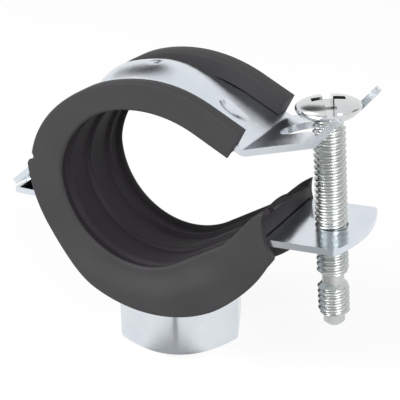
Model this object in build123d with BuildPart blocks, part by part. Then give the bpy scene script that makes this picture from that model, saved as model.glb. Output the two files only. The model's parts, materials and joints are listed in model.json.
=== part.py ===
from build123d import *
from math import acos, atan, cos, degrees, radians, sin, tan
import os

# A hinged pipe clamp with a rubber liner. The origin is the centre of the nut's flat underside, +Z up.
# X runs from the hinge to the closing screw, Y along the pipe.
# All band profiles are drawn in the XZ plane as strips that follow the rim line,
# the inner edge of the liner's side faces. A distance outside the rim line is called v.

# ---- straps: one steel strip, cut and bent twice
strap_width = 20.0
strap_thick = 1.2
bend_inside = 1.2

# ---- liner section
liner_inner = 1.5                  # v of the liner's face that the strap lies on
slot_clear = 0.1                   # between strap and rubber, all round
wall_thick = 0.8
lip_thick = 2.7
front_lip = 2.6
back_lip = 3.8
ridge_crest = 0.45
ridge_valley = 0.95
ridge_places = (-7.2, -0.2, 6.6)
ridge_width = 4.6
rim_round = 1.0

strap_v = liner_inner + slot_clear
strap_out = strap_v + strap_thick
lip_v = strap_out + slot_clear
liner_out = lip_v + lip_thick
seat_half = strap_width / 2 + slot_clear
liner_half = seat_half + wall_thick
base_half = seat_half - 0.2
tongue_half = seat_half - 0.3
bend_ref = strap_out + bend_inside     # a bend's radius, measured at the rim line

# ---- rim line of the open ring: run, bottom arc, fold at the hinge, crown, flat crown, run
bottom_at = (-2.99, 17.58)
bottom_radius = 16.08
run_slope = 30.5
lower_run = 20.4
bottom_turn = 117.3
fold_radius = 8.0
fold_turn = 14.0
crown_radius = 16.03
crown_turn = 64.2
flat_radius = 23.56
flat_turn = 42.5
upper_run = 8.0

# ---- lower strap
plate_tilt = 3.1
plate_point = (30.0, 28.45)        # on the plate's upper face
plate_end = 37.8
plate_arc_radius = 26.0
plate_corners = 1.6
lower_flange_end = -30.8
bar_width = 1.2
window_length = 2.4
tongue_width = 9.4
window_clear = 0.3

# ---- upper strap
flange_slope = 38.9
flange_join = 68.7                 # heading of the crown where the flange leaves it
upper_flange = 11.7
hook_inside = 1.08
hook_turn = 250.0
ear_slope = 15.5
ear_point = (24.2, 44.1)           # on the ear's lower face
horn_slope = 52.0
ear_to_horn = 12.0
horn_length = 4.8
slot_width = 6.6
slot_end = 21.2
mouth_from = 30.9
mouth_half = 9.6
rib_half = 7.2
rib_shift = -0.5                   # the rib sits midway between the two lips
rib_rise = 3.9
rib_from = 158.0                   # position angles round the crown's centre
rib_full = 142.0
rib_drop = 88.0
rib_end = (15.6, 45.4)

# ---- closing screw, M6 with a bare neck
screw_x = 31.05
thread_radius = 2.9
tap_clear = 0.05
neck_radius = 2.0
head_radius = 5.7
head_base = 19.9                   # above the plate, along the screw
head_height = 3.3
head_widest = 1.6                  # height of the wide rim above the head's base
head_edge = 0.4
head_under = 4.3
drive_slot = 1.6
drive_depth = 1.7
drive_cross = 2.9
drive_turn = -60.6
neck_top = -9.3
neck_bottom = -11.1
thread_end = -17.0
pilot_end = -19.5

# ---- connection nut, M10 below and M8 above
nut_flats = 22.6
nut_turn = -5.8
nut_height = 12.2
nut_face = 10.75                   # radius of the round end faces inside the chamfers
collar_radius = 7.5
entry_radius = 4.25
entry_depth = 6.5
deep_radius = 3.4
deep_depth = 12.0

# ---- the liner's free lips below, spread where they pass over the nut
skirt_centre = (0.0, 35.9)
skirt_radius = 26.9
skirt_thick = 1.2
skirt_from = 3.2
notch_height = 34.6
spread_half = 12.7
spread_full = 5.2                  # v at which the lip clears the nut
spread_angle = 37.0
spread_middle = -85.0              # position angle round the bottom's centre
nut_clear = 0.15

# ---- the base's lower end stands off the strap, between the side walls
lift_run = 12.0
lift_height = 1.9


def left(heading):
    return Vector(-sin(radians(heading)), cos(radians(heading)))


def ahead(heading):
    return Vector(cos(radians(heading)), sin(radians(heading)))


def strip(start, heading, moves, v):
    """Draws the edge of a strip at distance v to the left of a run of lines and arcs."""
    here = Vector(*start) + left(heading) * v
    ends = [here]
    for length, radius, turn in moves:
        if length:
            there = here + ahead(heading) * length
            Line(here, there)
        else:
            side = 1 if turn > 0 else -1
            arc = JernArc(here, ahead(heading), radius - side * v, turn)
            there = arc @ 1
            heading += turn
        here = there
        ends.append(here)
    return ends


def band(start, heading, ahead_moves, back_moves, inner, outer):
    """Draws a closed strip between two distances, running both ways from one point of the rim line."""
    ends = []
    for moves, way, flip in ((ahead_moves, heading, 1), (back_moves, heading + 180, -1)):
        ends.append([strip(start, way, moves, flip * v)[-1] for v in (inner, outer)])
    Line(*ends[0])
    Line(*ends[1])


def crossing(p, heading, q, other):
    """Distance from p along its heading to the line through q."""
    gap = Vector(*q) - Vector(*p)
    d, e = ahead(heading), ahead(other)
    return (gap.X * e.Y - gap.Y * e.X) / (d.X * e.Y - d.Y * e.X)


bottom_centre = Vector(bottom_at[0], bottom_at[1] + bottom_radius)
run_start = bottom_centre + left(180 + run_slope) * bottom_radius
rim_start = run_start + ahead(run_slope) * lower_run
rim_moves = (
    (lower_run, 0, 0),
    (0, bottom_radius, -bottom_turn),
    (0, fold_radius, -fold_turn),
    (0, crown_radius, -crown_turn),
    (0, flat_radius, -flat_turn),
    (upper_run, 0, 0),
)
fold_heading = 180 + run_slope - bottom_turn
fold_start = bottom_centre + left(fold_heading) * bottom_radius
fold_centre = fold_start - left(fold_heading) * fold_radius
crown_heading = fold_heading - fold_turn
crown_centre = fold_centre + left(crown_heading) * (fold_radius - crown_radius)

# Upper strap, from where the flange leaves the crown: back along the flange, ahead to the ear and horns.
flat_heading = crown_heading - crown_turn
ear_heading = flat_heading - flat_turn
flat_centre = crown_centre + left(flat_heading) * (crown_radius - flat_radius)
upper_start = crown_centre + left(flange_join) * crown_radius
run_top = flat_centre + left(ear_heading) * (flat_radius + strap_v)
ear_turn = ear_slope - ear_heading
ear_corner = crossing(run_top, ear_heading, ear_point, ear_slope)
upper_ahead = (
    (0, crown_radius, flat_heading - flange_join),
    (0, flat_radius, -flat_turn),
    (ear_corner - (bend_ref - strap_v) * tan(radians(ear_turn / 2)), 0, 0),
    (0, bend_ref, ear_turn),
    (ear_to_horn, 0, 0),
    (0, bend_ref, horn_slope - ear_slope),
    (horn_length, 0, 0),
)
upper_back = (
    (0, bend_ref, flange_slope - flange_join),
    (upper_flange, 0, 0),
)

# The flange's lower face passes the hinge bar at the hook's inner radius.
upper_bend = upper_start + left(flange_join) * bend_ref
bar_line = upper_bend - left(flange_slope) * (bend_ref - strap_v + hook_inside)
hinge_x = lower_flange_end + bar_width / 2
hinge_at = Vector(hinge_x, bar_line.Y + (hinge_x - bar_line.X) * tan(radians(flange_slope)))
lower_flange_top = hinge_at.Y + strap_thick / 2

# Lower strap, from the start of its straight run: back to the plate, ahead to the hinge flange.
on_strap = run_start + left(180 + run_slope) * strap_v
plate_corner = crossing(on_strap, run_slope, plate_point, plate_tilt)
plate_turn = run_slope - plate_tilt
plate_back = plate_corner - (bend_ref - strap_v) * tan(radians(plate_turn / 2))
plate_length = 22.0
flange_drop = bottom_centre.Y + bend_ref - strap_v - lower_flange_top
flange_turn = degrees(acos(flange_drop / (bottom_radius + bend_ref)))
lower_ahead = (
    (0, bottom_radius, -(run_slope + flange_turn)),
    (0, bend_ref, flange_turn),
    (12.0, 0, 0),
)
lower_back = (
    (plate_back, 0, 0),
    (0, bend_ref, -plate_turn),
    (plate_length, 0, 0),
)

plate_mid = plate_point[1] + (screw_x - plate_point[0]) * tan(radians(plate_tilt))
screw_plane = Plane(
    origin=(screw_x, 0, plate_mid),
    x_dir=(cos(radians(plate_tilt)), 0, sin(radians(plate_tilt))),
    z_dir=(-sin(radians(plate_tilt)), 0, cos(radians(plate_tilt))),
)
above = Plane.XY.offset(60)
crown_axis = Axis((crown_centre.X, 0, crown_centre.Y), (0, 1, 0))
bottom_axis = Axis((bottom_centre.X, 0, bottom_centre.Y), (0, 1, 0))
rib_start = Plane(
    origin=(crown_centre.X, 0, crown_centre.Y),
    x_dir=(0, 1, 0),
    z_dir=(sin(radians(rib_from)), 0, -cos(radians(rib_from))),
)


def rib_profile(inset):
    """Draws the rib seen along Y: it rises, follows the crown, runs out before the ear, and back under."""
    top = crown_radius + strap_out + rib_rise - inset
    under = crown_radius + strap_v
    first = rib_from - degrees(inset / under)
    turning = 90 + flat_heading
    foot = crown_centre + ahead(first) * under
    shoulder = crown_centre + ahead(rib_full) * top
    drop = crown_centre + ahead(rib_drop) * top
    flat_start = crown_centre + ahead(turning) * under
    flat_middle = flat_centre + ahead(turning - flat_turn / 2) * (flat_radius + strap_v)
    Line(foot, shoulder)
    ThreePointArc(shoulder, crown_centre + ahead((rib_full + rib_drop) / 2) * top, drop)
    Polyline(drop, Vector(*rib_end) - left(ear_heading) * inset, run_top)
    ThreePointArc(run_top, flat_middle, flat_start)
    ThreePointArc(flat_start, crown_centre + ahead((turning + first) / 2) * under, foot)


with BuildPart() as lower_strap:
    with BuildSketch(Plane.XZ):
        with BuildLine():
            band(run_start, 180 + run_slope, lower_ahead, lower_back, strap_v, strap_out)
        make_face()
    extrude(amount=strap_width / 2, both=True)
    # the plate's end is a shallow arc, and the hinge flange is cut square
    with BuildSketch(above):
        with Locations((plate_end, 0)):
            Circle(plate_arc_radius, align=(Align.MAX, Align.CENTER))
        with Locations((lower_flange_end, 0)):
            Rectangle(80, strap_width, align=(Align.MIN, Align.CENTER), mode=Mode.INTERSECT)
        fillet(vertices().group_by(Axis.X)[-1], plate_corners)
        with Locations((lower_flange_end, 0)):
            Rectangle(50, strap_width, align=(Align.MIN, Align.CENTER))
    extrude(amount=-60, mode=Mode.INTERSECT)
    # window that the hinge hook passes through
    with BuildSketch(above):
        with Locations((lower_flange_end + bar_width, 0)):
            Rectangle(
                window_length,
                tongue_width + 2 * window_clear,
                align=(Align.MIN, Align.CENTER),
            )
    extrude(amount=-60, mode=Mode.SUBTRACT)
    # tapped hole for the closing screw
    with BuildSketch(screw_plane.offset(5)):
        Circle(thread_radius + tap_clear)
    extrude(amount=-12, mode=Mode.SUBTRACT)

# skin and hollow of the rib pressed into the crown
with BuildPart() as rib_skin:
    with BuildSketch(rib_start):
        with Locations((rib_shift, crown_radius + strap_v)):
            Ellipse(rib_half, strap_thick + rib_rise)
            Rectangle(40, 20, align=(Align.CENTER, Align.MIN), mode=Mode.INTERSECT)
    revolve(axis=crown_axis, revolution_arc=rib_from - 45)
    with BuildSketch(Plane.XZ):
        with BuildLine():
            rib_profile(0)
        make_face()
    extrude(amount=strap_width / 2, both=True, mode=Mode.INTERSECT)

with BuildPart() as rib_hollow:
    with BuildSketch(rib_start):
        with Locations((rib_shift, crown_radius + strap_v)):
            Ellipse(rib_half - strap_thick, rib_rise)
    revolve(axis=crown_axis, revolution_arc=rib_from - 45)
    with BuildSketch(Plane.XZ):
        with BuildLine():
            rib_profile(strap_thick)
        make_face()
    extrude(amount=strap_width / 2, both=True, mode=Mode.INTERSECT)

with BuildPart() as upper_strap:
    with BuildSketch(Plane.XZ):
        with BuildLine():
            band(upper_start, flange_join, upper_ahead, upper_back, strap_v, strap_out)
        make_face()
    extrude(amount=strap_width / 2, both=True)
    add(rib_skin.part)
    add(rib_hollow.part, mode=Mode.SUBTRACT)
    # hinge hook, from the flange round the bar
    with BuildSketch(Plane.XZ):
        with BuildLine():
            band(
                hinge_at + ahead(flange_slope) * 3,
                180 + flange_slope,
                ((3.0, 0, 0), (0, 0, hook_turn)),
                (),
                -hook_inside,
                -hook_inside - strap_thick,
            )
        make_face()
    extrude(amount=tongue_width / 2, both=True)
    # slot for the screw, opening into a mouth between two upturned horns
    with BuildSketch(above):
        with BuildLine():
            Polyline(
                (mouth_from, -slot_width / 2),
                (plate_end, -mouth_half - slot_width / 2 * 0.9),
                (plate_end, mouth_half + slot_width / 2 * 0.9),
                (mouth_from, slot_width / 2),
                close=True,
            )
        make_face()
        with Locations((slot_end + slot_width / 2, 0)):
            Circle(slot_width / 2)
            Rectangle(8, slot_width, align=(Align.MIN, Align.CENTER))
    extrude(amount=-60, mode=Mode.SUBTRACT)

with BuildPart() as connection_nut:
    with BuildSketch():
        RegularPolygon(nut_flats / 2, 6, major_radius=False, rotation=nut_turn)
    extrude(amount=nut_height)
    with BuildSketch(Plane.XZ):
        with BuildLine():
            Polyline(
                (0, 0),
                (nut_face, 0),
                (nut_face + 4, 4 * tan(radians(30))),
                (nut_face + 4, nut_height - 4 * tan(radians(30))),
                (nut_face, nut_height),
                (0, nut_height),
                close=True,
            )
        make_face()
    revolve(axis=Axis.Z, mode=Mode.INTERSECT)
    # weld collar up to the strap
    Cylinder(collar_radius, 20, align=(Align.CENTER, Align.CENTER, Align.MIN))
    with BuildSketch(Plane.XZ):
        with Locations(bottom_centre):
            Circle(bottom_radius + strap_out + 0.01)
    extrude(amount=20, both=True, mode=Mode.SUBTRACT)
    with BuildSketch():
        Circle(deep_radius)
    extrude(amount=deep_depth, mode=Mode.SUBTRACT)
    with BuildSketch():
        Circle(entry_radius)
    extrude(amount=entry_depth, mode=Mode.SUBTRACT)

with BuildPart() as closing_screw:
    with BuildSketch(Plane(origin=screw_plane.origin, x_dir=screw_plane.x_dir, z_dir=(0, -1, 0))):
        with BuildLine():
            Polyline(
                (0, pilot_end),
                (neck_radius * 0.6, pilot_end),
                (neck_radius, pilot_end + 0.8),
                (neck_radius, thread_end - 0.6),
                (thread_radius, thread_end + 0.5),
                (thread_radius, neck_bottom - 0.8),
                (neck_radius, neck_bottom),
                (neck_radius, neck_top),
                (thread_radius, neck_top + 0.8),
                (thread_radius, head_base),
                (head_under, head_base),
            )
            Polyline(
                (head_under, head_base),
                (head_radius, head_base + head_widest),
                (head_radius, head_base + head_widest + head_edge),
                (head_radius * 0.82, head_base + head_height * 0.86),
                (head_radius * 0.45, head_base + head_height * 0.98),
                (0, head_base + head_height),
            )
            Line((0, head_base + head_height), (0, pilot_end))
        make_face()
    revolve(axis=Axis(screw_plane.origin, screw_plane.z_dir))
    with BuildSketch(screw_plane.offset(head_base + head_height + 1)):
        Rectangle(20, drive_slot, rotation=drive_turn)
        Rectangle(drive_slot, 2 * drive_cross, rotation=drive_turn)
    extrude(amount=-drive_depth - 1, mode=Mode.SUBTRACT)


def ridges(first, last):
    """Draws the base's inner face across the pipe, from first to last, with its ridges."""
    here = first
    for middle in ridge_places:
        foot = (middle - ridge_width / 2, ridge_valley)
        crest = (middle, ridge_crest)
        Polyline(here, foot, crest)
        here = (middle + ridge_width / 2, ridge_valley)
        Line(crest, here)
    Line(here, last)


# section of the rubber: Y across, v upwards
with BuildSketch() as liner_section:
    with BuildLine():
        ridges((-base_half, 0), (base_half, 0))
        Polyline(
            (base_half, 0),
            (liner_half, rim_round),
            (liner_half, liner_out),
            (liner_half - back_lip, liner_out),
            (liner_half - back_lip, lip_v),
            (seat_half, lip_v),
            (seat_half, liner_inner),
            (-seat_half, liner_inner),
            (-seat_half, lip_v),
            (-liner_half + front_lip, lip_v),
            (-liner_half + front_lip, liner_out),
            (-liner_half, liner_out),
            (-liner_half, rim_round),
            (-base_half, 0),
        )
    make_face()

# section of the lifted end of the base
with BuildSketch() as base_section:
    with BuildLine():
        ridges((-tongue_half, ridge_valley), (tongue_half, ridge_valley))
        Polyline(
            (tongue_half, ridge_valley),
            (tongue_half, liner_inner),
            (-tongue_half, liner_inner),
            (-tongue_half, ridge_valley),
        )
    make_face()

# section of a lip that is spread by the nut
with BuildSketch() as spread_section:
    with BuildLine():
        Polyline(
            (liner_half - skirt_thick, skirt_from),
            (spread_half - skirt_thick, spread_full),
            (spread_half - skirt_thick, skirt_radius),
            (spread_half, skirt_radius),
            (spread_half, spread_full),
            (liner_half, skirt_from),
            close=True,
        )
    make_face()
    mirror(about=Plane.YZ)


def across(point, heading):
    """The plane that cuts the rim line squarely at a point."""
    way = ahead(heading)
    return Plane(origin=(point.X, 0, point.Y), x_dir=(0, 1, 0), z_dir=(way.X, 0, way.Y))


lift_angle = degrees(atan(lift_height / lift_run))
spread_start = spread_middle + spread_angle

with BuildPart() as spread_lips:
    with BuildSketch(across(bottom_centre + ahead(spread_start) * bottom_radius, spread_start - 90)):
        add(spread_section.sketch)
    revolve(axis=bottom_axis, revolution_arc=2 * spread_angle)

with BuildPart() as rubber_liner:
    here = rim_start
    heading = 180 + run_slope
    for length, radius, turn in rim_moves:
        with BuildSketch(across(here, heading)):
            add(liner_section.sketch)
        if length:
            extrude(amount=length)
            here += ahead(heading) * length
        else:
            centre = here - left(heading) * radius
            revolve(axis=Axis((centre.X, 0, centre.Y), (0, 1, 0)), revolution_arc=-turn)
            heading += turn
            here = centre + left(heading) * radius
    # the base's lower end is cut free of the walls and lifted
    with BuildSketch(across(rim_start, 180 + run_slope)):
        Rectangle(2 * tongue_half, 2 * liner_inner)
    extrude(amount=lift_run, mode=Mode.SUBTRACT)
    with BuildSketch(across(rim_start + ahead(180 + run_slope) * lift_run, 180 + run_slope + lift_angle)):
        add(base_section.sketch)
    extrude(amount=-lift_run / cos(radians(lift_angle)))
    # free lips of the lower half, flush with the side faces
    for side in (-1, 1):
        with BuildSketch(Plane.XZ.offset(side * (liner_half - skirt_thick))):
            with BuildLine():
                Polyline(
                    (bottom_centre.X, notch_height),
                    (bottom_centre.X - 40, notch_height),
                    (bottom_centre.X - 40, -10),
                    tuple(run_start + left(180 + run_slope) * 40),
                    tuple(rim_start + left(180 + run_slope) * 40),
                    tuple(rim_start + left(180 + run_slope) * skirt_from),
                    tuple(run_start + left(180 + run_slope) * skirt_from),
                    close=True,
                )
            make_face()
            with Locations(skirt_centre):
                Circle(skirt_radius, mode=Mode.INTERSECT)
            with Locations(bottom_centre):
                Circle(bottom_radius + skirt_from, mode=Mode.SUBTRACT)
        extrude(amount=side * skirt_thick)
    with BuildSketch(Plane.XZ):
        with Locations(skirt_centre):
            Circle(skirt_radius)
    spread_bound = extrude(amount=spread_half, both=True, mode=Mode.PRIVATE)
    add(spread_lips.part.intersect(spread_bound))
    # room for the nut and its collar
    with BuildSketch():
        RegularPolygon(nut_flats / 2 + nut_clear, 6, major_radius=False, rotation=nut_turn)
    extrude(amount=nut_height + nut_clear, mode=Mode.SUBTRACT)
    with BuildSketch():
        Circle(collar_radius + nut_clear)
    extrude(amount=bottom_at[1] - strap_v, mode=Mode.SUBTRACT)
    # room for both straps where they leave the rubber
    with BuildSketch(Plane.XZ):
        with BuildLine():
            band(run_start, 180 + run_slope, lower_ahead, lower_back, liner_inner, lip_v)
        make_face()
    extrude(amount=seat_half, both=True, mode=Mode.SUBTRACT)
    with BuildSketch(Plane.XZ):
        with BuildLine():
            band(upper_start, flange_join, upper_ahead, upper_back, liner_inner, lip_v)
        make_face()
    extrude(amount=seat_half, both=True, mode=Mode.SUBTRACT)
    add(rib_skin.part, mode=Mode.SUBTRACT)

os.makedirs("parts", exist_ok=True)
for name, piece in (
    ("lower_strap", lower_strap),
    ("upper_strap", upper_strap),
    ("rubber_liner", rubber_liner),
    ("connection_nut", connection_nut),
    ("closing_screw", closing_screw),
):
    piece.part.label = name
    export_step(piece.part, f"parts/{name}.step")
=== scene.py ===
"""Looks of a rubber lined pipe clamp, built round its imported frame."""

import json
import math

import bmesh
import bpy
import numpy as np
from bpy.props import FloatProperty, FloatVectorProperty, PointerProperty
from mathutils import Matrix


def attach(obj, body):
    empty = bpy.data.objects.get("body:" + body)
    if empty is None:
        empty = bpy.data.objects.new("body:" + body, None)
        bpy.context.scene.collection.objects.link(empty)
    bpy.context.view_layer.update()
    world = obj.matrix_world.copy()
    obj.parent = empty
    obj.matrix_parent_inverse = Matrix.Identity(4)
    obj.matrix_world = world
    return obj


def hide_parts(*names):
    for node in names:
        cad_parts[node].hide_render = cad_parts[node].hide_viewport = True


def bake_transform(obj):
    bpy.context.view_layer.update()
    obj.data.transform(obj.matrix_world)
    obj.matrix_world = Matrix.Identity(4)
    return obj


bl_info = {
    "name": "Rubber Lined Pipe Clamp",
    "version": (1, 0, 0),
    "blender": (4, 5, 0),
    "location": "View3D > Sidebar > Pipe Clamp",
    "description": "Dresses the packed frame of a pipe clamp with its surfaces and finishes",
    "category": "Object",
}

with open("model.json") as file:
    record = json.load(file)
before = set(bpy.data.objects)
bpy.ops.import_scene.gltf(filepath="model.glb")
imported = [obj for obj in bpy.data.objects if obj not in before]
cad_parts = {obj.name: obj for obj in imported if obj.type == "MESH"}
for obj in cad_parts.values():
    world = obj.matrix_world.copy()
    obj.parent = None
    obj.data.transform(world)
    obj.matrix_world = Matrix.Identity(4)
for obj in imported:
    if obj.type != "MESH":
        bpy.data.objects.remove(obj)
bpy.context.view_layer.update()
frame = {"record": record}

MM = 0.001
JOINTS = {joint["name"]: joint for joint in frame["record"]["behaviour"]["joints"]}
HINGE = np.array(JOINTS["hinge"]["pos_m"]) / MM
PLATE_TILT = 3.1                   # degrees, of the plate and so of the screw
SCREW_AT = (31.05, 28.507)         # where the screw's axis meets the plate

# rim line of the open ring, seen from the front: it starts at the lower end and runs clockwise
RIM_BOTTOM = (-2.99, 17.58)
RIM_SLOPE = 30.5
RIM_LOWER_RUN = 20.4
RIM_ARCS = ((16.08, 117.3), (8.0, 14.0), (16.03, 64.2), (23.56, 42.5))     # radius, turn
RIM_UPPER_RUN = 7.1

# section of the rubber: Y across, v outwards from the rim line
RUBBER_HALF = 10.9
RUBBER_WALL = 0.8
RUBBER_BASE = 1.5
RUBBER_SLOT = 2.9                  # v of the lips' undersides
RIDGES = (-7.2, -0.2, 6.6)
RIDGE_REACH = 1.1
VALLEY = 1.0
RIM_ROUND = 0.5
FRONT_LIP = 2.6
BACK_LIP = 3.8
FRONT_OUT = 5.1
BACK_OUT = 6.25
HINGE_OUT = 6.9
SKIRT_CENTRE = (0.0, 35.9)
SKIRT_RADIUS = 26.85
NOTCH_HEIGHT = 34.6
LIFT_RUN = 10.0
LIFT_BACK = 0.64                   # the loose end stands up less at the back, by this share
LIP_POINT = 1.5                    # the front lip ends in a point
CURL = 2.0                         # the lifted end leans back
END_HOLLOW = 1.6                   # the lower end of the side walls is cut back in a curve
END_REACH = 5.6
FLARE = 1.75                       # how far the lower lips spread over the nut

# nut with a combined thread, welded to the strap
NUT_APOTHEM = 11.3
NUT_TURN = -5.8
NUT_HEIGHT = 12.2
NUT_FACE = 10.75                   # radius of the round end faces
NUT_SHARPNESS = 60.0               # the higher, the sharper its six corners
ENTRY_BORE = (4.25, 6.5)           # radius, depth
DEEP_BORE = (3.4, 12.0)
COLLAR_RADIUS = 7.5
PAST_STRAP = 99.0                  # a height that nut_rows cuts back to the strap's underside

# upper strap: distances are from the rim line, angles are headings in degrees
STRAP_HALF = 10.0                  # half the strip's width
STRAP_THICK = 1.2
STRAP_IN = 1.6                     # its inner and outer faces, off the rim line
STRAP_OUT = STRAP_IN + STRAP_THICK
BEND_REF = 4.0                     # radius of the bends
TONGUE_HALF = 4.7
HOOK_INSIDE = 1.08                 # radius inside the hook
HOOK_TURN = 250.0
FLANGE_SLOPE = 38.9
FLANGE_JOIN = 68.7
EAR_SLOPE = 15.5
EAR_POINT = (24.2, 44.1)           # x and z of a point on the ear
EAR_LENGTH = 12.0
HORN_SLOPE = 49.0
HORN_LENGTH = 5.6
SLOT_HALF = 3.3
SLOT_END = 21.2                    # x of the slot's round end
HORN_FROM, HORN_FULL = 27.6, 32.0  # the slot opens into the space between the horns
HORN_INNER = 8.1
RIB_HALF = 7.2                     # half the pressed rib's width
RIB_MIDDLE = -0.5
RIB_RISE = 3.65
RIB_START, RIB_FULL = -20.0, -9.0  # x where it rises, and below where it falls
RIB_DROP, RIB_END = -3.0, 14.0
DIMPLES = (                        # x, y, radius along, radius across, depth
    (-3.0, -1.2, 1.3, 1.3, 0.45), (11.6, -1.0, 2.3, 1.7, 0.55),
)


# ---------------------------------------------------------------- helpers

def linear(code):
    """sRGB hex to linear RGBA: each channel is undone by the sRGB curve."""
    rgb = np.array([int(code[i:i + 2], 16) for i in (1, 3, 5)]) / 255.0
    flat = np.where(rgb <= 0.04045, rgb / 12.92, ((rgb + 0.055) / 1.055) ** 2.4)
    return (*flat.tolist(), 1.0)


def add_node(tree, kind, settings=None, links=None):
    """Adds a node, sets its attributes and sockets, and links its inputs."""
    node = tree.nodes.new(kind)
    for key, value in (settings or {}).items():
        if isinstance(key, int) or key in node.inputs:
            node.inputs[key].default_value = value
        else:
            setattr(node, key, value)
    for key, source in (links or {}).items():
        tree.links.new(source, node.inputs[key])
    return node


def new_material(name):
    """An empty node material with its output."""
    material = bpy.data.materials.new(name)
    material.use_nodes = True
    material.node_tree.nodes.clear()
    out = add_node(material.node_tree, "ShaderNodeOutputMaterial")
    return material, material.node_tree, out


def bright_zinc(name, grain_mm, relief, dull, dark, light):
    """Steel with a bright blue zinc plating: a cool, nearly white metal. The pressed strip keeps a
    pebbled grain that breaks a dark reflection into specks, and the turned screw is smoother."""
    material, tree, out = new_material(name)
    place = add_node(tree, "ShaderNodeTexCoord").outputs["Object"]
    cloud = add_node(tree, "ShaderNodeTexNoise", {"Scale": 180.0, "Detail": 3.0}, {"Vector": place})
    grain = add_node(
        tree, "ShaderNodeTexNoise", {"Scale": 1 / (grain_mm * MM), "Detail": 2.0}, {"Vector": place})
    rough = add_node(
        tree, "ShaderNodeMapRange",
        {"From Min": 0.35, "From Max": 0.7, "To Min": dull, "To Max": dull + 0.1},
        {"Value": cloud.outputs["Fac"]},
    )
    tone = add_node(tree, "ShaderNodeMix", {
        "data_type": "RGBA", 6: linear(dark), 7: tuple(light),
    }, {0: cloud.outputs["Fac"]})
    bump = add_node(
        tree, "ShaderNodeBump", {"Strength": relief, "Distance": 0.0001},
        {"Height": grain.outputs["Fac"]},
    )
    shader = add_node(
        tree, "ShaderNodeBsdfPrincipled", {"Metallic": 1.0},
        {"Base Color": tone.outputs[2], "Roughness": rough.outputs[0], "Normal": bump.outputs[0]},
    )
    tree.links.new(shader.outputs[0], out.inputs[0])
    return material


def moulded_rubber(skin_colour, bloom_colour, ridged_shade_colour):
    """Black EPDM, moulded: a dull charcoal with a faint bloom and a fine satin grain. The ridged inner face
    is mixed to a darker colour as painted shade for the inside of the ring.
    """
    material, tree, out = new_material("moulded_epdm_rubber")
    place = add_node(tree, "ShaderNodeTexCoord").outputs["Object"]
    bloom = add_node(tree, "ShaderNodeTexNoise", {"Scale": 120.0, "Detail": 5.0}, {"Vector": place})
    grain = add_node(tree, "ShaderNodeTexNoise", {"Scale": 3500.0, "Detail": 2.0}, {"Vector": place})
    skin = add_node(tree, "ShaderNodeMix", {
        "data_type": "RGBA", 6: tuple(skin_colour), 7: tuple(bloom_colour),
    }, {0: bloom.outputs["Fac"]})
    # painted shade: a vertex mask of the ridged inner face mixes the skin towards a darker colour, standing
    # in for the shade inside the ring
    face = add_node(tree, "ShaderNodeAttribute", {"attribute_name": "ridged_face_shade"})
    tone = add_node(tree, "ShaderNodeMix", {
        "data_type": "RGBA", 7: tuple(ridged_shade_colour),
    }, {0: face.outputs["Fac"], 6: skin.outputs[2]})
    bump = add_node(
        tree, "ShaderNodeBump", {"Strength": 0.25, "Distance": 0.0001},
        {"Height": grain.outputs["Fac"]},
    )
    shader = add_node(
        tree, "ShaderNodeBsdfPrincipled", {"Roughness": 0.66, "Specular IOR Level": 0.3},
        {"Base Color": tone.outputs[2], "Normal": bump.outputs[0]},
    )
    tree.links.new(shader.outputs[0], out.inputs[0])
    return material


def smooth_step(value, low, high):
    """0 before low, 1 after high, and 3t2 - 2t3 between."""
    t = np.clip((value - low) / (high - low), 0.0, 1.0)
    return t * t * (3 - 2 * t)


def add_tube(name, rows, sharp):
    """A skin over rows of points, each row a closed loop, with its two ends capped.
    rows is an array of loops, points and xyz, in millimetres."""
    loops, points = rows.shape[:2]
    index = np.arange(loops * points).reshape(loops, points)
    low, high = index[:-1], index[1:]
    quads = np.stack([low, np.roll(low, -1, 1), np.roll(high, -1, 1), high], -1).reshape(-1, 4)
    faces = quads.tolist() + [index[0, ::-1].tolist(), index[-1].tolist()]
    mesh = bpy.data.meshes.new(name)
    mesh.from_pydata((rows.reshape(-1, 3) * MM).tolist(), [], faces)
    return add_object(name, mesh, sharp)


def add_object(name, mesh, sharp):
    """Puts a mesh in the scene with its faces outwards, smooth but for edges above an angle."""
    work = bmesh.new()
    work.from_mesh(mesh)
    bmesh.ops.remove_doubles(work, verts=work.verts, dist=1e-6)
    bmesh.ops.recalc_face_normals(work, faces=work.faces)
    work.to_mesh(mesh)
    work.free()
    mesh.polygons.foreach_set("use_smooth", np.ones(len(mesh.polygons), bool))
    mesh.set_sharp_from_angle(angle=math.radians(sharp))
    piece = bpy.data.objects.new(name, mesh)
    bpy.context.scene.collection.objects.link(piece)
    return piece


def rim_line(travel):
    """Place and heading after a travel along the rim: straight runs and right-hand arcs, end to end."""
    centre = np.array((RIM_BOTTOM[0], RIM_BOTTOM[1] + RIM_ARCS[0][0]))
    way = 180 + RIM_SLOPE
    here = centre + outward(way) * RIM_ARCS[0][0] - ahead(way) * RIM_LOWER_RUN
    place = np.zeros((len(travel), 2))
    heading = np.zeros(len(travel))
    done = 0.0
    for length, radius, turn in (
        (RIM_LOWER_RUN, 0, 0), *((0, *arc) for arc in RIM_ARCS), (RIM_UPPER_RUN, 0, 0),
    ):
        span = length or radius * math.radians(turn)
        inside = travel >= done
        local = np.clip(travel - done, 0, span)[inside]
        if length:
            heading[inside] = way
            place[inside] = here + local[:, None] * ahead(way)
            here = here + span * ahead(way)
        else:
            centre = here - outward(way) * radius
            heading[inside] = way - np.degrees(local / radius)
            place[inside] = centre + outward(heading[inside]) * radius
            way -= turn
            here = centre + outward(way) * radius
        done += span
    return place, heading, done


def rim_distance(spots):
    """Distance of each point outside the nearest of many points of the rim line."""
    place, heading, total = rim_line(np.linspace(0, rim_line(np.zeros(1))[2], 160))
    gaps = spots[:, None, (0, 2)] - place[None]
    nearest = (gaps**2).sum(2).argmin(1)
    chosen = gaps[np.arange(len(spots)), nearest]
    return (chosen * outward(heading)[nearest]).sum(1)


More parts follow.
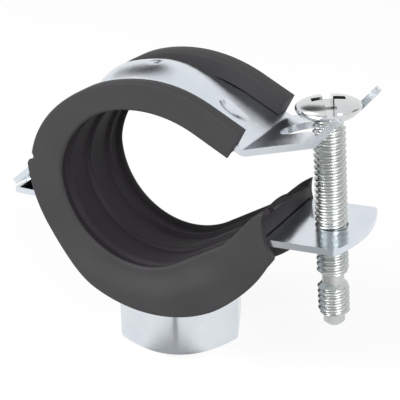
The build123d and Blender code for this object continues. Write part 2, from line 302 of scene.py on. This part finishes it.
def ahead(heading):
    """The unit vector along a heading: (cos, sin)."""
    return np.stack([np.cos(np.radians(heading)), np.sin(np.radians(heading))], -1)


def outward(heading):
    """The unit vector to the left of a heading, which is outwards on the rim: (-sin, cos)."""
    return np.stack([-np.sin(np.radians(heading)), np.cos(np.radians(heading))], -1)


# ---------------------------------------------------------------- settings

class ClampSettings(bpy.types.PropertyGroup):
    """The sizes and colours that a user would change"""
    thread_pitch: FloatProperty(
        name="Thread Pitch", description="From one crest of the screw's thread to the next",
        default=1.08 * MM, min=0.5 * MM, max=2.0 * MM, precision=5, unit="LENGTH")
    ridge_height: FloatProperty(
        name="Ridge Height", description="Height of the rubber's three ridges above its valleys",
        default=0.75 * MM, min=0.0, max=1.0 * MM, precision=5, unit="LENGTH")
    loose_end: FloatProperty(
        name="Loose End",
        description="How far the rubber's lower end stands up off the strap at the front",
        default=3.3 * MM, min=0.0, max=4.0 * MM, precision=5, unit="LENGTH")
    strap_colour: FloatVectorProperty(
        name="Strap Colour", description="Lightest tone of the zinc on the straps",
        default=linear("#E6EAEE"), size=4, min=0.0, max=1.0, subtype="COLOR")
    nut_colour: FloatVectorProperty(
        name="Nut Colour", description="Lightest tone of the zinc on the nut",
        default=linear("#E6EAED"), size=4, min=0.0, max=1.0, subtype="COLOR")
    screw_colour: FloatVectorProperty(
        name="Screw Colour", description="Lightest tone of the zinc on the screw's thread",
        default=linear("#CFD2D0"), size=4, min=0.0, max=1.0, subtype="COLOR")
    rubber_colour: FloatVectorProperty(
        name="Rubber Colour", description="Darkest tone of the rubber's outer skin",
        default=linear("#313031"), size=4, min=0.0, max=1.0, subtype="COLOR")
    bloom_colour: FloatVectorProperty(
        name="Bloom Colour", description="Tone of the faint bloom on the rubber",
        default=linear("#3B393B"), size=4, min=0.0, max=1.0, subtype="COLOR")
    # painted shade: this darker colour on the ridged inner face stands in for the shade inside the ring
    ridged_shade_colour: FloatVectorProperty(
        name="Ridged Face Shade Colour", description="Tone of the rubber's ridged inner face",
        default=linear("#1F1B1F"), size=4, min=0.0, max=1.0, subtype="COLOR")
    lamp_power: FloatProperty(
        name="Lamp Power",
        description="Power of the left soft box; the right one has three quarters of it",
        default=4.0, min=0.0, unit="POWER")
    view_azimuth: FloatProperty(
        name="View Azimuth", description="Camera's turn round the clamp, in degrees", default=29.36)
    view_elevation: FloatProperty(
        name="View Elevation", description="Camera's height angle, in degrees", default=23.08)
    view_roll: FloatProperty(name="View Roll", description="Camera's roll, in degrees", default=-1.36)
    view_distance: FloatProperty(
        name="View Distance", description="From the aim point to the camera", default=0.20575,
        unit="LENGTH")


class CLAMP_OT_lower_half(bpy.types.Operator):
    """Finishes the lower strap and the nut"""
    bl_idname = "clamp.lower_half"
    bl_label = "Lower Strap and Nut"

    def execute(self, context):
        settings = context.scene.clamp
        pressed = bright_zinc("bright_zinc_on_plate", 0.5, 0.12, 0.12, "#CDD6E0", settings.strap_colour)
        forged = bright_zinc("bright_zinc_on_nut", 0.5, 0.1, 0.2, "#CBD2D9", settings.nut_colour)
        strap = bpy.data.objects["lower_strap"].data
        strap.materials.clear()
        strap.materials.append(pressed)
        nut = add_tube("hexagon_nut", nut_rows(), sharp=28.0)
        nut.data.materials.append(forged)
        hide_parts("connection_nut")
        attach(nut, "lower_half")
        return {"FINISHED"}


def round_rows(rows, count):
    """Radii and heights of rows that are circles of count points, from (radius, height) pairs."""
    radius, height = np.array(rows).T
    return np.repeat(radius[:, None], count, 1), height


def nut_rows():
    """The nut's skin in rows from the deep bore's end down the bores, out under the nut, up its sides
    and in over the collar to the strap. The outline's radius is the p-norm of the six faces' own
    radii, apothem over cosine, which rounds the corners, and of the end chamfers' cones."""
    turn = np.radians(np.arange(0.0, 360.0, 1.0))
    faces = np.radians(NUT_TURN + 30 + 60 * np.arange(6))
    facing = np.clip(np.cos(turn[:, None] - faces[None, :]), 0, 1)
    hexagon = NUT_APOTHEM / (facing**NUT_SHARPNESS).sum(1) ** (1 / NUT_SHARPNESS)
    rise = np.linspace(0, 1, 14)
    height = np.concatenate([2.2 * rise, np.linspace(2.2, NUT_HEIGHT - 2.2, 10)[1:-1],
                             NUT_HEIGHT - 2.2 * rise[::-1]])
    cone = NUT_FACE + np.minimum(height, NUT_HEIGHT - height) / math.tan(math.radians(30))
    side = (hexagon[None, :] ** -40.0 + cone[:, None] ** -40.0) ** (-1 / 40)
    inner, inner_z = round_rows((
        (0.02, DEEP_BORE[1]), (DEEP_BORE[0], DEEP_BORE[1]), (DEEP_BORE[0], ENTRY_BORE[1]),
        (ENTRY_BORE[0], ENTRY_BORE[1]), (ENTRY_BORE[0], 0.5), (ENTRY_BORE[0] + 0.5, 0.0)), len(turn))
    collar, collar_z = round_rows((
        (COLLAR_RADIUS + 0.5, NUT_HEIGHT), (COLLAR_RADIUS + 0.15, NUT_HEIGHT + 0.15),
        (COLLAR_RADIUS, NUT_HEIGHT + 0.5),
        *((radius, PAST_STRAP) for radius in (COLLAR_RADIUS, 6.0, 4.0, 2.0, 0.02))), len(turn))
    radius = np.vstack([inner, side, collar])
    z = np.repeat(np.concatenate([inner_z, height, collar_z])[:, None], len(turn), 1)
    x, y = radius * np.cos(turn), radius * np.sin(turn)
    under = RIM_BOTTOM[1] + RIM_ARCS[0][0] - np.sqrt(
        (RIM_ARCS[0][0] + STRAP_OUT) ** 2 - (x - RIM_BOTTOM[0]) ** 2)
    return np.stack([x, y, np.minimum(z, under)], -1)


def walk(here, way, moves):
    """Places and headings along straight moves (length, samples) and arcs (radius, turn, samples):
    an arc is a point turned about its centre, which lies to the right where the turn is negative.
    No row is laid twice where two moves meet."""
    places, headings = [], []
    for move in moves:
        share = np.linspace(0.03 if places else 0, 1, move[-1])
        if len(move) == 2:
            places.append(here + share[:, None] * move[0] * ahead(way))
            headings.append(np.full(move[-1], way))
            here = here + move[0] * ahead(way)
        else:
            radius, turn, samples = move
            side = 1 if turn > 0 else -1
            centre = here + side * radius * outward(way)
            turned = way + turn * share
            places.append(centre - side * radius * outward(turned))
            headings.append(turned)
            way = way + turn
            here = centre - side * radius * outward(way)
    return np.concatenate(places), np.concatenate(headings)


def crossing(point, way, other, other_way):
    """Distance from a point along its heading to the line through another point."""
    gap = np.array(other) - point
    d, e = ahead(way), ahead(other_way)
    return (gap[0] * e[1] - gap[1] * e[0]) / (d[0] * e[1] - d[1] * e[0])


def upper_strap_path():
    """The strap's path on the rim line, from the hook round the hinge bar to the tips of the horns."""
    rim, heading, total = rim_line(np.cumsum([
        RIM_LOWER_RUN, *(radius * math.radians(turn) for radius, turn in RIM_ARCS)]))
    crown_start, flat_end = rim[2], rim[4]
    crown_way, flat_way, ear_way = heading[2], heading[3], heading[4]
    crown_radius = RIM_ARCS[2][0]
    crown_centre = crown_start - outward(crown_way) * crown_radius
    join = crown_centre + outward(FLANGE_JOIN) * crown_radius
    bend_start = join + (outward(FLANGE_JOIN) - outward(FLANGE_SLOPE)) * BEND_REF
    hook_radius = HOOK_INSIDE - STRAP_IN
    hook_end = HINGE[[0, 2]] + outward(FLANGE_SLOPE) * hook_radius
    flange = (bend_start - hook_end) @ ahead(FLANGE_SLOPE)
    first_way = FLANGE_SLOPE + HOOK_TURN
    start = HINGE[[0, 2]] + outward(first_way) * hook_radius
    ear_turn = EAR_SLOPE - ear_way
    run_top = flat_end + outward(ear_way) * STRAP_IN
    run = crossing(run_top, ear_way, EAR_POINT, EAR_SLOPE)
    run -= (BEND_REF - STRAP_IN) * math.tan(math.radians(ear_turn / 2))
    return walk(start, first_way, (
        (hook_radius, -HOOK_TURN, 40), (flange, 14), (BEND_REF, FLANGE_JOIN - FLANGE_SLOPE, 12),
        (crown_radius, flat_way - FLANGE_JOIN, 90), (RIM_ARCS[3][0], ear_way - flat_way, 70),
        (run, 8), (BEND_REF, ear_turn, 16), (EAR_LENGTH, 60),
        (BEND_REF, HORN_SLOPE - EAR_SLOPE, 16), (HORN_LENGTH, 26),
    ))


class CLAMP_OT_upper_strap(bpy.types.Operator):
    """Builds the upper strap: one strip, pressed with a rib, slotted, horned and hooked"""
    bl_idname = "clamp.upper_strap"
    bl_label = "Upper Strap"

    def execute(self, context):
        place, heading = upper_strap_path()
        x = place[:, 0] + STRAP_OUT * outward(heading)[:, 0]
        row = np.arange(len(x))
        half = np.where(row < 40, TONGUE_HALF, STRAP_HALF)
        before_centre = ((SLOT_END + SLOT_HALF - x) / SLOT_HALF).clip(0, 1)
        gap = SLOT_HALF * np.sqrt(np.clip(1 - before_centre**2, 0, 1))
        gap = gap + (HORN_INNER - SLOT_HALF) * smooth_step(x, HORN_FROM, HORN_FULL)
        tip = np.clip((row - (len(x) - 20)) / 19.0, 0, 1)
        gap = np.where(x > SLOT_END, gap, 0) + tip**2 * (STRAP_HALF - HORN_INNER) * 0.45
        half = half - tip**3 * (STRAP_HALF - HORN_INNER) * 0.2
        share = np.linspace(0, 1, 44)
        sheets = []
        for side in (-1, 1):
            across = side * (gap[:, None] + (half - gap)[:, None] * share[None, :])
            spot = np.clip(1 - ((across - RIB_MIDDLE) / RIB_HALF) ** 2, 0, 1)
            rise = smooth_step(x, RIB_START, RIB_FULL) * (1 - smooth_step(x, RIB_DROP, RIB_END))
            rise = rise * (place[:, 1] > HINGE[2] + 8)
            v = STRAP_OUT + RIB_RISE * rise[:, None] * spot**0.8
            for at, middle, along, wide, depth in DIMPLES:
                near = ((x[:, None] - at) / along) ** 2 + ((across - middle) / wide) ** 2
                v = v - depth * (1 - smooth_step(np.sqrt(near), 0.35, 1.0)) * (place[:, 1, None] > 40)
            way = outward(heading)
            sheets.append(np.stack([
                place[:, 0, None] + v * way[:, 0, None], across,
                place[:, 1, None] + v * way[:, 1, None]], -1))
        rows, columns = sheets[0].shape[:2]
        index = np.arange(rows * columns).reshape(rows, columns)
        quads = np.stack([index[:-1, :-1], index[1:, :-1], index[1:, 1:], index[:-1, 1:]], -1)
        quads = quads.reshape(-1, 4)
        faces = np.vstack([quads[:, ::-1], quads + rows * columns])
        mesh = bpy.data.meshes.new("upper_strip")
        points = np.concatenate([sheet.reshape(-1, 3) for sheet in sheets]) * MM
        mesh.from_pydata(points.tolist(), [], faces.tolist())
        piece = add_sheet("upper_strip", mesh, STRAP_THICK)
        piece.data.materials.append(bright_zinc(
            "bright_zinc_on_strip", 0.2, 0.35, 0.1, "#CDD6E0", context.scene.clamp.strap_colour))
        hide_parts("upper_strap")
        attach(piece, "upper_half")
        return {"FINISHED"}


def add_sheet(name, mesh, thickness):
    """Puts a sheet in the scene with its thickness on the inner side and its cut edges eased."""
    work = bmesh.new()
    work.from_mesh(mesh)
    bmesh.ops.remove_doubles(work, verts=work.verts, dist=2e-6)
    work.to_mesh(mesh)
    work.free()
    mesh.polygons.foreach_set("use_smooth", np.ones(len(mesh.polygons), bool))
    piece = bpy.data.objects.new(name, mesh)
    bpy.context.scene.collection.objects.link(piece)
    wall = piece.modifiers.new("thickness", "SOLIDIFY")
    wall.thickness = thickness * MM
    wall.offset = -1
    wall.use_even_offset = True
    ease = piece.modifiers.new("eased_edges", "BEVEL")
    ease.width = 0.15 * MM
    ease.segments = 2
    ease.limit_method = "ANGLE"
    ease.angle_limit = math.radians(50)
    ease.harden_normals = True
    return piece


# ---------------------------------------------------------------- screw

THREAD_CREST = 2.88                # radii
THREAD_ROOT = 2.38
SCREW_COLUMNS = 72                 # points round the screw
HEAD_POINTS = (                    # radius and height above the plate, from the shank over the top
    (2.55, 19.0), (2.9, 19.65), (4.2, 19.95), (5.15, 20.65), (5.62, 21.3), (5.68, 21.75),
    (5.35, 22.2), (4.55, 22.6), (3.4, 22.9), (1.8, 23.1), (0.6, 23.17), (0.02, 23.18),
)
SHANK_POINTS = (                   # radius and height, from the tip to the head's underside
    (0.02, -19.45), (1.2, -19.45), (1.95, -18.75), (1.98, -17.3), (2.9, -16.7), (2.9, -11.7),
    (2.0, -11.0), (2.0, -9.4), (2.9, -8.7), (2.9, 18.2), (2.55, 18.6), (2.55, 19.0),
)
DRIVE_TURN = -60.6                 # degrees, of the slot about the screw
DRIVE_LENGTH = 14                  # past both sides of the head
DRIVE_WIDTH = 1.8
DRIVE_FLOOR = 21.3                 # height of the slot's floor
CROSS_REACH = 2.9                  # of the short cross, from the axis


def curve_through(points, count):
    """A Catmull-Rom curve through points: each stretch is the cubic of its four neighbours."""
    points = np.array(points)
    padded = np.vstack([2 * points[0] - points[1], points, 2 * points[-1] - points[-2]])
    t = np.linspace(0, len(points) - 1, count)
    k = np.minimum(t.astype(int), len(points) - 2)
    f = (t - k)[:, None]
    a, b, c, d = padded[k], padded[k + 1], padded[k + 2], padded[k + 3]
    return 0.5 * (2 * b + (c - a) * f + (2 * a - 5 * b + 4 * c - d) * f**2 + (3 * b - a - 3 * c + d) * f**3)


def screw_place(points):
    """Turns points from the screw's own axes to the clamp's."""
    tilt = math.radians(PLATE_TILT)
    x, y, z = points[..., 0], points[..., 1], points[..., 2]
    return np.stack([
        SCREW_AT[0] + x * math.cos(tilt) - z * math.sin(tilt), y,
        SCREW_AT[1] + x * math.sin(tilt) + z * math.cos(tilt)], -1)


def box_mesh(name, size, centre, turn):
    """A closed box in the screw's axes, turned about the axis."""
    corners = np.array([(i, j, k) for k in (-1, 1) for j in (-1, 1) for i in (-1, 1)]) * np.array(size) / 2
    angle = math.radians(turn)
    x = corners[:, 0] * math.cos(angle) - corners[:, 1] * math.sin(angle)
    y = corners[:, 0] * math.sin(angle) + corners[:, 1] * math.cos(angle)
    placed = screw_place(np.stack([x + centre[0], y + centre[1], corners[:, 2] + centre[2]], -1)) * MM
    mesh = bpy.data.meshes.new(name)
    faces = ((0, 2, 3, 1), (4, 5, 7, 6), (0, 1, 5, 4), (2, 6, 7, 3), (0, 4, 6, 2), (1, 3, 7, 5))
    mesh.from_pydata(placed.tolist(), [], faces)
    return bpy.data.objects.new(name, mesh)


class CLAMP_OT_screw(bpy.types.Operator):
    """Builds the closing screw: thread, bare neck, and a head with a slot and a cross"""
    bl_idname = "clamp.screw"
    bl_label = "Closing Screw"

    def execute(self, context):
        settings = context.scene.clamp
        shank = np.array(SHANK_POINTS)
        height = np.unique(np.concatenate([shank[:, 1], np.arange(shank[0, 1], shank[-1, 1], 0.09)]))
        envelope = np.interp(height, shank[1:, 1], shank[1:, 0])
        turn = np.linspace(0, 2 * np.pi, SCREW_COLUMNS, endpoint=False)
        phase = (height[:, None] * MM / settings.thread_pitch - turn[None, :] / (2 * np.pi)) % 1.0
        flank = 0.5 + 0.5 * np.cos(2 * np.pi * (phase - 0.5))
        thread = THREAD_ROOT + (THREAD_CREST - THREAD_ROOT) * flank
        radius = np.minimum(envelope[:, None], thread)
        head = curve_through(HEAD_POINTS, 60)[1:]
        radius = np.vstack([
            np.full((1, SCREW_COLUMNS), 0.02), radius, np.repeat(head[:, :1], SCREW_COLUMNS, 1)])
        height = np.concatenate([height[:1], height, head[:, 1]])
        rows = np.stack([
            radius * np.cos(turn), radius * np.sin(turn),
            np.repeat(height[:, None], SCREW_COLUMNS, 1)], -1)
        piece = add_tube("machine_screw", screw_place(rows), sharp=40.0)
        top = HEAD_POINTS[-1][1] + 2
        for size in ((DRIVE_LENGTH, DRIVE_WIDTH, top - DRIVE_FLOOR),
                     (DRIVE_WIDTH, 2 * CROSS_REACH, top - DRIVE_FLOOR + 0.5)):
            cutter = box_mesh("drive_cutter", size, (0, 0, top - size[2] / 2), DRIVE_TURN)
            context.scene.collection.objects.link(cutter)
            cut = piece.modifiers.new("drive", "BOOLEAN")
            cut.operation = "DIFFERENCE"
            cut.solver = "EXACT"
            cut.object = cutter
            context.view_layer.update()
            depth = context.evaluated_depsgraph_get()
            mesh = bpy.data.meshes.new_from_object(piece.evaluated_get(depth))
            piece.modifiers.clear()
            piece.data = mesh
            bpy.data.objects.remove(cutter)
        piece.data.name = "machine_screw"
        piece.data.polygons.foreach_set("use_smooth", np.ones(len(piece.data.polygons), bool))
        piece.data.set_sharp_from_angle(angle=math.radians(40.0))
        piece.data.materials.clear()
        piece.data.materials.append(bright_zinc(
            "bright_zinc_on_screw", 0.35, 0.1, 0.24, "#B4B8B6", settings.screw_colour))
        piece.data.materials.append(bright_zinc(
            "bright_zinc_on_head", 0.35, 0.08, 0.08, "#C6CACA", linear("#E2E4E4")))
        centres = np.zeros(3 * len(piece.data.polygons))
        piece.data.polygons.foreach_get("center", centres)
        above = (centres.reshape(-1, 3)[:, ::2] / MM - SCREW_AT) @ outward(PLATE_TILT)
        piece.data.polygons.foreach_set("material_index", (above > HEAD_POINTS[0][1]).astype(np.int32))
        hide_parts("closing_screw")
        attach(piece, "screw")
        return {"FINISHED"}


# ---------------------------------------------------------------- rubber

def rubber_section(travel, place, heading, ridge):
    """The rubber's section at each travel, as columns of (across, v): the ridged face, then the back
    wall and lip, the seat of the strap, and the front lip and wall. Lips are hooked along the upper
    half, and straight, longer and spread over the nut along the lower half."""
    notch = travel[(travel > RIM_LOWER_RUN) & (place[:, 1] < NOTCH_HEIGHT)][-1]
    upper = (travel > notch).astype(float)
    reach = place - np.array(SKIRT_CENTRE)
    along = (reach * outward(heading)).sum(1)
    skirt = -along + np.sqrt(along**2 - (reach**2).sum(1) + SKIRT_RADIUS**2)
    from_hinge = smooth_step(travel - notch, 0.0, 15.0)
    slit = 1.5 * np.exp(-(((travel - notch) / 0.28) ** 2))
    flare = FLARE * smooth_step(place[:, 0], -17, -9) * (1 - smooth_step(place[:, 0], 8, 15))
    flare = flare * (place[:, 1] < 30)
    ones = np.ones(len(travel))
    columns = []

    def point(across, v):
        columns.append((across * ones, v * ones))

    def wall(side, lip, crown_out):
        """One side wall with its lip: down the outer face, round the tip and back to the seat."""
        turned = []
        out = np.where(upper > 0, HINGE_OUT + (crown_out - HINGE_OUT) * from_hinge, skirt) - slit
        for angle in np.linspace(0, 90, 5):
            turned.append((RUBBER_HALF - RIM_ROUND * (1 - np.sin(np.radians(angle))) + 0 * out,
                           RIM_ROUND * (1 - np.cos(np.radians(angle))) + 0 * out))
        for share in np.linspace(0, 1, 15)[1:]:
            v = RIM_ROUND + (out - 0.3 - RIM_ROUND) * share
            turned.append((RUBBER_HALF + flare * smooth_step(v, 1.0, 5.6), v))
        width = np.where(upper > 0, lip, 0.78)
        tip = RUBBER_HALF + flare
        soft = np.minimum(0.3, width * 0.35)
        turned.append((tip - soft * 0.3, out - 0.1))
        turned.append((tip - soft, out))
        turned.append((tip - width + soft, out))
        turned.append((tip - width + soft * 0.3, out - 0.1))
        turned.append((tip - width, out - 0.3))
        for share in np.linspace(1, 0, 8)[1:]:
            v = RUBBER_SLOT + (out - 0.3 - RUBBER_SLOT) * share
            turned.append((RUBBER_HALF + flare * smooth_step(v, 1.0, 5.6) - width, v))
        turned.append((RUBBER_HALF - RUBBER_WALL + 0 * out, RUBBER_SLOT + 0 * out))
        turned.append((RUBBER_HALF - RUBBER_WALL + 0 * out, RUBBER_BASE + 0 * out))
        turned.append((RUBBER_HALF - RUBBER_WALL - 0.3 + 0 * out, RUBBER_BASE + 0 * out))
        return [(side * across, v) for across, v in turned]

    inner = RUBBER_HALF - RUBBER_WALL - 0.3
    for across in np.linspace(-inner, inner, 110):
        near = min(abs(across - ridge) for ridge in RIDGES)
        rise = ridge * (0.5 + 0.5 * math.cos(math.pi * min(near / RIDGE_REACH, 1)))
        point(across, VALLEY - rise)
    point(RUBBER_HALF - RIM_ROUND - 0.25, 0.3)
    columns += wall(1, BACK_LIP, BACK_OUT)
    front = wall(-1, FRONT_LIP, FRONT_OUT + 0.5 * smooth_step(place[:, 0], -8, 6))
    columns += front[::-1]
    point(-RUBBER_HALF + RIM_ROUND + 0.25, 0.3)
    return np.array(columns).transpose(2, 0, 1)


class CLAMP_OT_rubber(bpy.types.Operator):
    """Builds the rubber liner, one moulding that bends over the hinge"""
    bl_idname = "clamp.rubber"
    bl_label = "Rubber Liner"

    def execute(self, context):
        settings = context.scene.clamp
        travel = np.linspace(0, rim_line(np.zeros(1))[2], 300)
        place, heading, _ = rim_line(travel)
        section = rubber_section(travel, place, heading, settings.ridge_height / MM)
        way = outward(heading)
        hollow = END_HOLLOW * np.sin(np.pi * np.clip(section[..., 1] / END_REACH, 0, 1))
        hollow = hollow * (np.abs(section[..., 0]) > RUBBER_HALF - 1.3)
        hollow = hollow * np.clip(1 - travel / 5, 0, 1)[:, None]
        rise = 0.5 + 0.5 * np.cos(np.pi * np.clip(travel / LIFT_RUN, 0, 1) ** 1.1)
        back = smooth_step(section[..., 0], -2.0, RUBBER_HALF)
        height = rise[:, None] * settings.loose_end / MM * (1 + (LIFT_BACK - 1) * back)
        seat = (np.abs(section[..., 0]) < RUBBER_HALF - RUBBER_WALL + 0.1) & (section[..., 1] < 2.5)
        height = height * (1 - np.where(
            seat, smooth_step(section[..., 1], 0.9, 1.45), smooth_step(section[..., 1], 0.6, 5.5)))
        curl = CURL * np.clip((RUBBER_BASE - section[..., 1]) / 2.6, 0, 1)
        curl = curl * np.clip(1 - travel / 8, 0, 1)[:, None]
        point = smooth_step(section[..., 1], 4.2, 6.0) * (section[..., 0] < -RUBBER_HALF + 1.3)
        hollow = hollow - LIP_POINT * point * np.clip(1 - travel / 3, 0, 1)[:, None]
        hollow = hollow + curl * (np.abs(section[..., 0]) < RUBBER_HALF - 1.0)
        x = place[:, 0, None] + section[..., 1] * way[:, 0, None] + hollow * ahead(heading)[:, 0, None]
        z = place[:, 1, None] + section[..., 1] * way[:, 1, None] + hollow * ahead(heading)[:, 1, None]
        z = z + height
        piece = add_tube("rubber_lining", np.stack([x, section[..., 0], z], -1), sharp=38.0)
        # masks the ridged inner face, where the material paints shade with a darker colour
        ridged = piece.data.attributes.new("ridged_face_shade", "FLOAT", "POINT")
        spots = np.zeros(3 * len(piece.data.vertices))
        piece.data.vertices.foreach_get("co", spots)
        spots = spots.reshape(-1, 3) / MM
        inside = (np.abs(spots[:, 1]) < RUBBER_HALF - 0.6) & (rim_distance(spots) < 1.2)
        ridged.data.foreach_set("value", inside.astype(float))
        piece.data.materials.append(moulded_rubber(
            settings.rubber_colour, settings.bloom_colour, settings.ridged_shade_colour))
        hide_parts("rubber_liner")
        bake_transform(piece)
        return {"FINISHED"}


# ---------------------------------------------------------------- stage

def area_light(name, place, aim, size, power):
    """A soft box that faces its aim point."""
    lamp = bpy.data.lights.new(name, "AREA")
    lamp.shape = "RECTANGLE"
    lamp.size, lamp.size_y = size
    lamp.energy = power
    obj = bpy.data.objects.new(name, lamp)
    bpy.context.scene.collection.objects.link(obj)
    obj.location = place
    away = np.array(place) - np.array(aim)
    away /= np.linalg.norm(away)
    side = np.cross((0, 0, 1), away)
    side /= np.linalg.norm(side)
    up = np.cross(away, side)
    m = np.eye(4)
    m[:3, 0], m[:3, 1], m[:3, 2], m[:3, 3] = side, up, away, place
    obj.matrix_world = Matrix(m.tolist())
    return obj


DARK_PATCHES = (                   # direction, half width in degrees, level: what bright metal mirrors
    ((-0.55, 0.42, 0.74), 19, 0.12), ((0.45, -0.85, 0.3), 17, 0.35), ((0.8, 0.55, 0.2), 18, 0.3),
    ((-0.9, -0.3, 0.1), 16, 0.3), ((-0.35, -0.93, 0.05), 10, 0.62), ((0.98, -0.1, -0.05), 14, 0.45),
)


FLOOR_FLAG = (0.326, -0.946, 0.0)  # bright metal mirrors a darker stretch of floor on this side
FLOOR_HALF = 1.5                   # metres
VIEW_AIM = (4.567, 0.0, 28.20)
VIEW_LENS = 99.0                   # on a 36 mm sensor


class CLAMP_OT_stage(bpy.types.Operator):
    """Sets the floor, the soft light and the camera"""
    bl_idname = "clamp.stage"
    bl_label = "Stage"

    def execute(self, context):
        scene = context.scene
        settings = scene.clamp
        mesh = bpy.data.meshes.new("studio_floor")
        corners = [(x * FLOOR_HALF, y * FLOOR_HALF, 0) for x, y in ((-1, -1), (1, -1), (1, 1), (-1, 1))]
        mesh.from_pydata(corners, [], [(0, 1, 2, 3)])
        floor = bpy.data.objects.new("studio_floor", mesh)
        scene.collection.objects.link(floor)
        material, tree, out = new_material("white_paper_floor")
        path = add_node(tree, "ShaderNodeLightPath")
        seen = add_node(tree, "ShaderNodeMath", {"operation": "MAXIMUM"},
                        {0: path.outputs["Is Camera Ray"], 1: path.outputs["Is Glossy Ray"]})
        share = add_node(tree, "ShaderNodeMath", {"operation": "MULTIPLY", 1: 0.87}, {0: seen.outputs[0]})
        paper = add_node(tree, "ShaderNodeBsdfDiffuse", {"Color": linear("#F7F7F7")})
        spot = add_node(tree, "ShaderNodeTexCoord").outputs["Object"]
        way = add_node(tree, "ShaderNodeVectorMath", {"operation": "NORMALIZE"}, {0: spot})
        facing = add_node(tree, "ShaderNodeVectorMath",
                          {"operation": "DOT_PRODUCT", 1: FLOOR_FLAG}, {0: way.outputs[0]})
        shade = add_node(tree, "ShaderNodeMapRange", {
            "interpolation_type": "SMOOTHSTEP", "From Min": 0.78, "From Max": 0.97,
            "To Min": 1.0, "To Max": 0.35}, {"Value": facing.outputs["Value"]})
        level = add_node(tree, "ShaderNodeMix", {2: 1.0},
                         {0: path.outputs["Is Glossy Ray"], 3: shade.outputs[0]})
        glow = add_node(tree, "ShaderNodeEmission", {"Color": (1, 1, 1, 1)}, {"Strength": level.outputs[0]})
        mixed = add_node(tree, "ShaderNodeMixShader", None,
                         {0: share.outputs[0], 1: paper.outputs[0], 2: glow.outputs[0]})
        tree.links.new(mixed.outputs[0], out.inputs[0])
        mesh.materials.append(material)

        world = bpy.data.worlds.new("soft_white_room")
        world.use_nodes = True
        scene.world = world
        tree = world.node_tree
        tree.nodes.clear()
        path = add_node(tree, "ShaderNodeLightPath")
        ray = add_node(tree, "ShaderNodeTexCoord").outputs["Generated"]
        level = add_node(tree, "ShaderNodeMath", {"operation": "MULTIPLY", 0: 0.97, 1: 1.0}).outputs[0]
        for toward, wide, depth in DARK_PATCHES:
            toward = np.array(toward) / np.linalg.norm(toward)
            facing = add_node(tree, "ShaderNodeVectorMath",
                              {"operation": "DOT_PRODUCT", 1: toward.tolist()}, {0: ray})
            edge = math.cos(math.radians(wide))
            share = add_node(tree, "ShaderNodeMapRange", {
                "interpolation_type": "SMOOTHSTEP", "From Min": edge - 0.04, "From Max": edge + 0.05,
                "To Min": 1.0, "To Max": depth}, {"Value": facing.outputs["Value"]})
            darker = add_node(tree, "ShaderNodeMath", {"operation": "MULTIPLY"},
                              {0: level, 1: share.outputs[0]})
            level = darker.outputs[0]
        room = add_node(tree, "ShaderNodeCombineColor", None, {0: level, 1: level, 2: level})
        seen_room = add_node(tree, "ShaderNodeMix", {"data_type": "RGBA", 6: (0.5, 0.5, 0.5, 1)},
                             {0: path.outputs["Is Glossy Ray"], 7: room.outputs[0]})
        shown = add_node(tree, "ShaderNodeMix", {"data_type": "RGBA", 7: (1, 1, 1, 1)},
                         {0: path.outputs["Is Camera Ray"], 6: seen_room.outputs[2]})
        back = add_node(tree, "ShaderNodeBackground", {"Strength": 1.0}, {"Color": shown.outputs[2]})
        add_node(tree, "ShaderNodeOutputWorld", None, {0: back.outputs[0]})

        middle = (0, 0, 0.03)
        power = settings.lamp_power
        area_light("left_softbox", (-0.45, -0.35, 0.45), middle, (0.4, 0.4), power)
        area_light("right_softbox", (0.5, -0.35, 0.35), middle, (0.3, 0.4), 0.75 * power)

        az, el, roll = (math.radians(angle) for angle in (
            settings.view_azimuth, settings.view_elevation, settings.view_roll))
        back_way = np.array((math.sin(az) * math.cos(el), -math.cos(az) * math.cos(el), math.sin(el)))
        right = np.array((math.cos(az), math.sin(az), 0.0))
        up = np.cross(back_way, right)
        aim = np.array(VIEW_AIM) * MM
        place = aim + back_way * settings.view_distance
        m = np.eye(4)
        m[:3, 0] = math.cos(roll) * right + math.sin(roll) * up
        m[:3, 1] = -math.sin(roll) * right + math.cos(roll) * up
        m[:3, 2] = back_way
        m[:3, 3] = place
        lens = bpy.data.cameras.new("camera")
        lens.lens = VIEW_LENS
        lens.sensor_width = 36.0
        lens.clip_start = 0.01
        camera = bpy.data.objects.new("camera", lens)
        scene.collection.objects.link(camera)
        camera.matrix_world = Matrix(m.tolist())
        scene.camera = camera
        scene.view_settings.view_transform = "Standard"
        return {"FINISHED"}


class CLAMP_PT_panel(bpy.types.Panel):
    """Lists the clamp's pieces"""
    bl_idname = "CLAMP_PT_panel"
    bl_label = "Pipe Clamp"
    bl_space_type = "VIEW_3D"
    bl_region_type = "UI"
    bl_category = "Pipe Clamp"

    def draw(self, context):
        for name in ClampSettings.__annotations__:
            self.layout.prop(context.scene.clamp, name)
        for cls in OPERATORS:
            self.layout.operator(cls.bl_idname)


OPERATORS = (CLAMP_OT_lower_half, CLAMP_OT_upper_strap, CLAMP_OT_screw, CLAMP_OT_rubber, CLAMP_OT_stage)
CLASSES = (ClampSettings, *OPERATORS, CLAMP_PT_panel)


def register():
    for cls in CLASSES:
        bpy.utils.register_class(cls)
    bpy.types.Scene.clamp = PointerProperty(type=ClampSettings)


def unregister():
    del bpy.types.Scene.clamp
    for cls in reversed(CLASSES):
        bpy.utils.unregister_class(cls)


def main():
    register()
    bpy.ops.clamp.lower_half()
    bpy.ops.clamp.upper_strap()
    bpy.ops.clamp.screw()
    bpy.ops.clamp.rubber()
    bpy.ops.clamp.stage()


if __name__ == "__main__":
    main()
